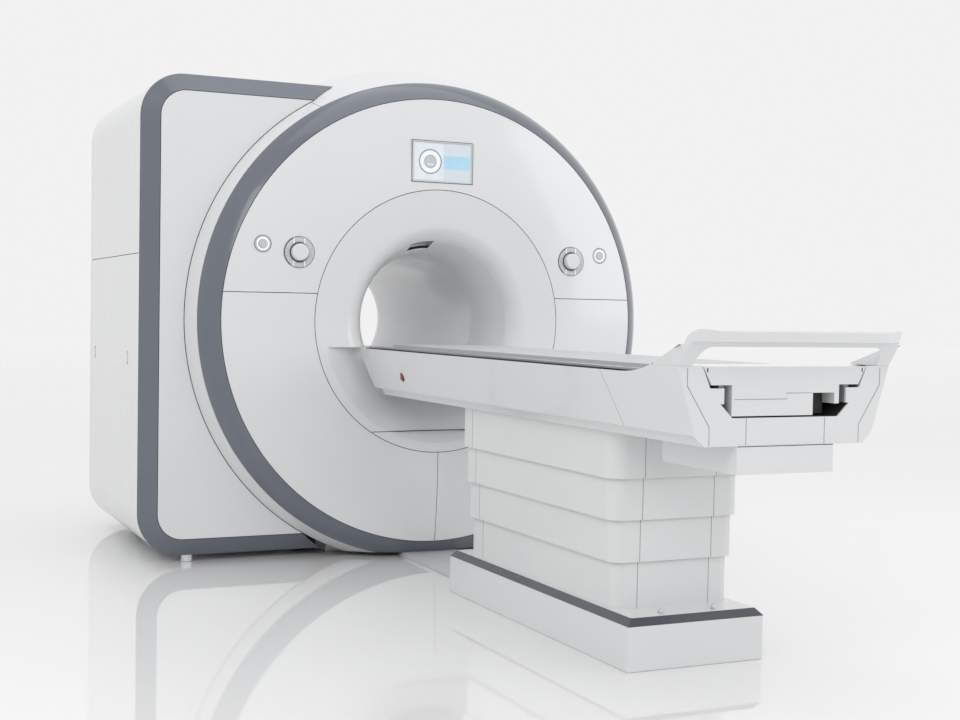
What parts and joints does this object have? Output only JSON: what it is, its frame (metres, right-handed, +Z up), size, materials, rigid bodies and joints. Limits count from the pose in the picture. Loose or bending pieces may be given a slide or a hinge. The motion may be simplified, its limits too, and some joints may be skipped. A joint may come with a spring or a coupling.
{
  "type": "mri scanner",
  "caption": "Whole-body MRI scanner: round cylindrical magnet housing with a cabinet wing, patient bore, display and controls, and a lifting patient table with a sliding tabletop.",
  "frame": {"origin": "on the floor under the bore axis, in the plane of the front ring's inner edge", "axes": "+X right seen from the front, +Y along the bore from front to back, +Z up"},
  "size_m": [2.481, 4.3642, 2.25],
  "materials": {
    "cover": "gloss",
    "trim": "gloss",
    "steel": "brushed",
    "aluminium": "satin",
    "copper": "satin",
    "light_grey": "satin",
    "screen": "gloss",
    "red_button": "gloss",
    "epoxy": "matte",
    "tabletop": "satin",
    "light_glass": "gloss"
  },
  "bodies": {
    "gantry": {"front_cover_upper": "cover", "front_cover_left": "cover", "front_cover_right": "cover", "funnel_upper": "cover", "funnel_lower": "cover", "front_ring_trim": "trim", "barrel_cover": "cover", "barrel_strip_left": "cover", "rear_cover_upper": "cover", "rear_cover_lower": "cover", "rear_funnel": "cover", "bore_liner": "cover", "wing_front_panel": "cover", "wing_trim_frame": "trim", "wing_side_lower": "cover", "wing_side_upper": "cover", "wing_rear_cover": "cover", "wing_frame": "aluminium", "display_bezel": "light_grey", "display_screen": "screen", "light_window": "light_glass", "control_bezels": "light_grey", "vacuum_vessel": "steel", "helium_vessel": "steel", "main_coils": "copper", "gradient_coil": "epoxy", "rf_body_coil": "epoxy", "cold_head": "aluminium", "magnet_feet": "steel", "cover_hoops": "aluminium", "bore_bed": "light_grey", "pedestal_base": "cover", "pedestal_trim": "trim", "floor_duct": "light_grey", "skirt_tier_bottom": "cover", "lift_column_outer": "aluminium"},
    "table": {"skirt_tier_top": "cover", "lift_column_inner": "aluminium", "table_undertray": "cover", "table_side_left": "cover", "table_side_right": "cover", "table_deck": "light_grey", "tail_shell": "cover", "tail_box": "cover", "tail_handle": "cover"},
    "skirt_upper": {"skirt_tier_upper": "cover"},
    "skirt_lower": {"skirt_tier_lower": "cover"},
    "lift_middle": {"lift_column_middle": "aluminium"},
    "sliding_top": {"tabletop": "tabletop", "tabletop_carriage": "cover"},
    "jog_knob_left": {"jog_knob_left": "cover"},
    "jog_knob_right": {"jog_knob_right": "cover"},
    "table_up_key_left": {"table_up_key_left": "light_grey"},
    "table_up_key_right": {"table_up_key_right": "light_grey"},
    "table_down_key_left": {"table_down_key_left": "light_grey"},
    "table_down_key_right": {"table_down_key_right": "light_grey"},
    "stop_button_left": {"stop_button_left": "light_grey"},
    "stop_button_right": {"stop_button_right": "light_grey"},
    "release_button_left": {"release_button_left": "red_button"},
    "release_button_right": {"release_button_right": "red_button"}
  },
  "joints": [
    {"name": "table_lift", "type": "slide", "parent": "gantry", "child": "table", "axis": [0, 0, 1], "range_m": [-0.4, 0]},
    {"name": "skirt_upper_slide", "type": "slide", "parent": "gantry", "child": "skirt_upper", "axis": [0, 0, 1], "range_m": [-0.27, 0]},
    {"name": "skirt_lower_slide", "type": "slide", "parent": "gantry", "child": "skirt_lower", "axis": [0, 0, 1], "range_m": [-0.135, 0]},
    {"name": "lift_middle_slide", "type": "slide", "parent": "gantry", "child": "lift_middle", "axis": [0, 0, 1], "range_m": [-0.2, 0]},
    {"name": "tabletop_slide", "type": "slide", "parent": "table", "child": "sliding_top", "axis": [0, 1, 0], "range_m": [0, 1.75]},
    {"name": "jog_knob_left_turn", "type": "hinge", "parent": "gantry", "child": "jog_knob_left", "pos_m": [-0.666, -0.02, 1.361], "axis": [0, -1, 0], "continuous": true},
    {"name": "table_up_key_left_press", "type": "slide", "parent": "gantry", "child": "table_up_key_left", "axis": [0, 1, 0], "range_m": [0, 0.003], "stiffness_N_per_m": 600},
    {"name": "table_down_key_left_press", "type": "slide", "parent": "gantry", "child": "table_down_key_left", "axis": [0, 1, 0], "range_m": [0, 0.003], "stiffness_N_per_m": 600},
    {"name": "stop_button_left_press", "type": "slide", "parent": "gantry", "child": "stop_button_left", "axis": [0, 1, 0], "range_m": [0, 0.003], "stiffness_N_per_m": 600},
    {"name": "release_button_left_press", "type": "slide", "parent": "table", "child": "release_button_left", "axis": [1, 0, 0], "range_m": [0, 0.003], "stiffness_N_per_m": 600},
    {"name": "jog_knob_right_turn", "type": "hinge", "parent": "gantry", "child": "jog_knob_right", "pos_m": [0.666, -0.02, 1.361], "axis": [0, -1, 0], "continuous": true},
    {"name": "table_up_key_right_press", "type": "slide", "parent": "gantry", "child": "table_up_key_right", "axis": [0, 1, 0], "range_m": [0, 0.003], "stiffness_N_per_m": 600},
    {"name": "table_down_key_right_press", "type": "slide", "parent": "gantry", "child": "table_down_key_right", "axis": [0, 1, 0], "range_m": [0, 0.003], "stiffness_N_per_m": 600},
    {"name": "stop_button_right_press", "type": "slide", "parent": "gantry", "child": "stop_button_right", "axis": [0, 1, 0], "range_m": [0, 0.003], "stiffness_N_per_m": 600},
    {"name": "release_button_right_press", "type": "slide", "parent": "table", "child": "release_button_right", "axis": [-1, 0, 0], "range_m": [0, 0.003], "stiffness_N_per_m": 600}
  ],
  "couplings": [
    {"joint": "skirt_upper_slide", "follows": "table_lift", "ratio": 0.66667},
    {"joint": "skirt_lower_slide", "follows": "table_lift", "ratio": 0.33333},
    {"joint": "lift_middle_slide", "follows": "table_lift", "ratio": 0.5}
  ]
}
